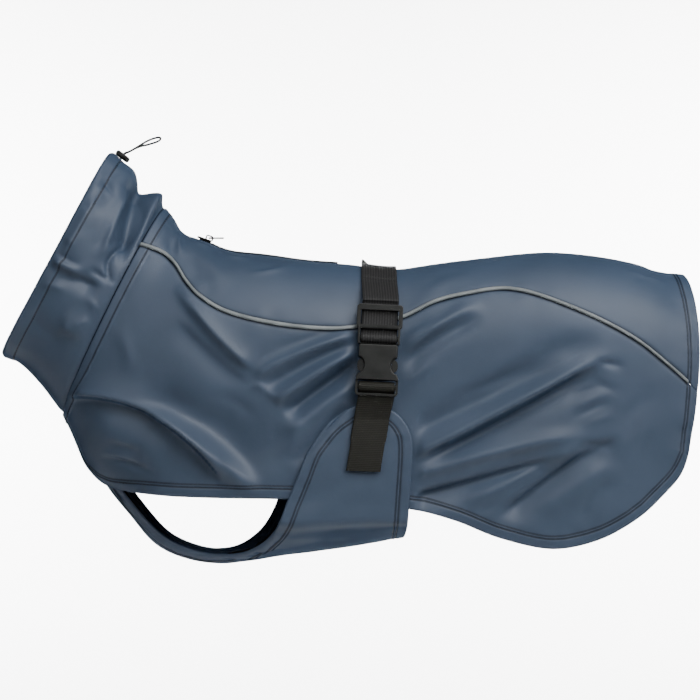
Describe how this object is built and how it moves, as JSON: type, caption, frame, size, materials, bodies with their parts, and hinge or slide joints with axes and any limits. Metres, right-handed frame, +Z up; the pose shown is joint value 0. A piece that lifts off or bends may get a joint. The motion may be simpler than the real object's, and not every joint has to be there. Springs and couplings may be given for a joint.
{
  "type": "dog raincoat",
  "caption": "Dog raincoat in its worn shape: wide collar with drawcord, piped back and sides, chest and belly panel, webbing strap with side-release buckle, and a zip along the back.",
  "frame": {"origin": "on the inner face of the back panel, where the coat rests on the middle of the wearer's back, just in front of the strap", "axes": "+X towards the tail hem, +Y to the wearer's right, so that the buckle is on the -Y side, and +Z up"},
  "size_m": [0.4928, 0.1482, 0.3065],
  "materials": {
    "coat_cloth": "slate-blue coated cloth with a soft satin shine outside and a dull black backing inside",
    "piping_cloth": "grey reflective piping, smooth",
    "webbing": "black woven webbing, ribbed and dull",
    "buckle_plastic": "moulded black plastic with a faint shine",
    "zip_teeth": "black coil zip",
    "zip_metal": "black enamelled metal",
    "cord_cloth": "black braided elastic cord"
  },
  "bodies": {
    "coat": {"back_panel": "coat_cloth", "side_panel_near": "coat_cloth", "side_panel_far": "coat_cloth", "collar": "coat_cloth", "belly_panel": "coat_cloth", "piping_near": "piping_cloth", "piping_far": "piping_cloth", "webbing_back": "webbing", "webbing_lower": "webbing", "buckle_plug": "buckle_plastic", "buckle_socket": "buckle_plastic", "zip_tape": "webbing", "zip_chain": "zip_teeth", "zip_slider": "zip_metal", "cord_lock": "buckle_plastic", "cord_loop": "cord_cloth"},
    "pull_tab": {"zip_pull": "zip_metal"}
  },
  "joints": [
    {"name": "zip_pull_hinge", "type": "hinge", "parent": "coat", "child": "pull_tab", "pos_m": [-0.10119, 0, 0.02053], "axis": [0, -1, 0], "range_deg": [-20, 140]}
  ]
}
